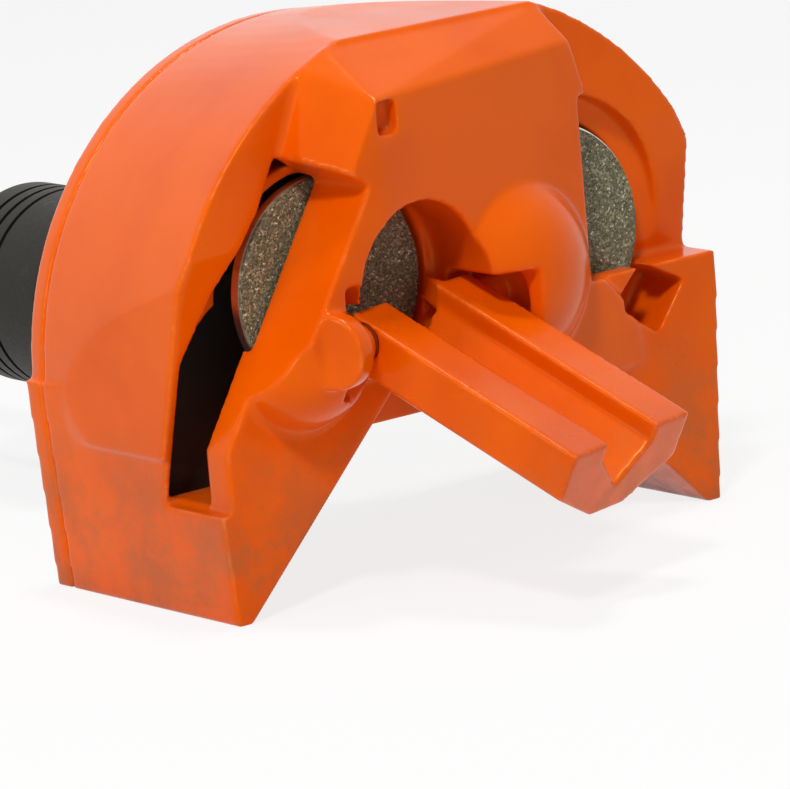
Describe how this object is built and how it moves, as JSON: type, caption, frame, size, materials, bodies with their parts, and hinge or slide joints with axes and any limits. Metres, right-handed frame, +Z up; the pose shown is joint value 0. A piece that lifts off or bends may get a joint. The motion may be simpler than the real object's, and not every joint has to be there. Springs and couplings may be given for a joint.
{
  "type": "drill bit sharpener",
  "caption": "Drill-driven drill bit sharpener: orange plastic housing on two feet, geared abrasive wheels, a rocking V-shaped guide and a rubber-gripped neck with a drive shank.",
  "frame": {"origin": "on the input shaft's axis, at the free end of its shank, where the full diameter ends", "axes": "+Y points back along the drive shank, away from the housing; +X is across to the open window's side; +Z is up"},
  "size_m": [0.12, 0.2274, 0.1005],
  "materials": {
    "orange_plastic": "glossy moulded orange",
    "dark_plastic": "matt black",
    "grip_rubber": "ribbed black rubber",
    "steel": "machined steel",
    "abrasive": "bonded abrasive grit on steel",
    "bronze": "sintered bronze",
    "brass": "machined brass"
  },
  "bodies": {
    "housing": {"front_housing": "orange_plastic", "rear_cover": "orange_plastic", "gear_plate": "dark_plastic", "wheel_bushes": "bronze", "bearing_neck": "dark_plastic", "rubber_grip": "grip_rubber", "bearing_outer_rings": "steel", "bearing_balls": "steel", "neck_seal": "grip_rubber", "neck_circlip": "steel", "housing_screws": "steel", "plate_screws": "steel", "neck_screws": "steel"},
    "input": {"input_shaft": "steel", "drive_gear": "brass", "gear_pin": "steel", "bearing_inner_rings": "steel", "shaft_circlip": "steel"},
    "left_wheel_set": {"left_spindle": "steel", "left_wheel": "steel", "left_grit": "abrasive", "left_hub": "steel", "left_screw": "steel", "left_gear": "brass"},
    "right_wheel_set": {"right_spindle": "steel", "right_wheel": "steel", "right_grit": "abrasive", "right_hub": "steel", "right_screw": "steel", "right_gear": "brass"},
    "guide": {"drill_guide": "orange_plastic", "guide_bushes": "bronze"}
  },
  "joints": [
    {"name": "input_spin", "type": "hinge", "parent": "housing", "child": "input", "pos_m": [0, -0.13, 0], "axis": [0, 1, 0], "continuous": true},
    {"name": "left_wheel_spin", "type": "hinge", "parent": "housing", "child": "left_wheel_set", "pos_m": [-0.026, -0.14, 0.01778], "axis": [0, 1, 0], "continuous": true},
    {"name": "right_wheel_spin", "type": "hinge", "parent": "housing", "child": "right_wheel_set", "pos_m": [0.026, -0.14, 0.01778], "axis": [0, 1, 0], "continuous": true},
    {"name": "guide_rock", "type": "hinge", "parent": "housing", "child": "guide", "pos_m": [-0.0147, -0.1785, 0.0101], "axis": [0.9613, 0.2756, 0], "range_deg": [-15, 0]}
  ],
  "couplings": [
    {"joint": "left_wheel_spin", "follows": "input_spin", "ratio": -0.7027},
    {"joint": "right_wheel_spin", "follows": "input_spin", "ratio": -0.7027}
  ]
}
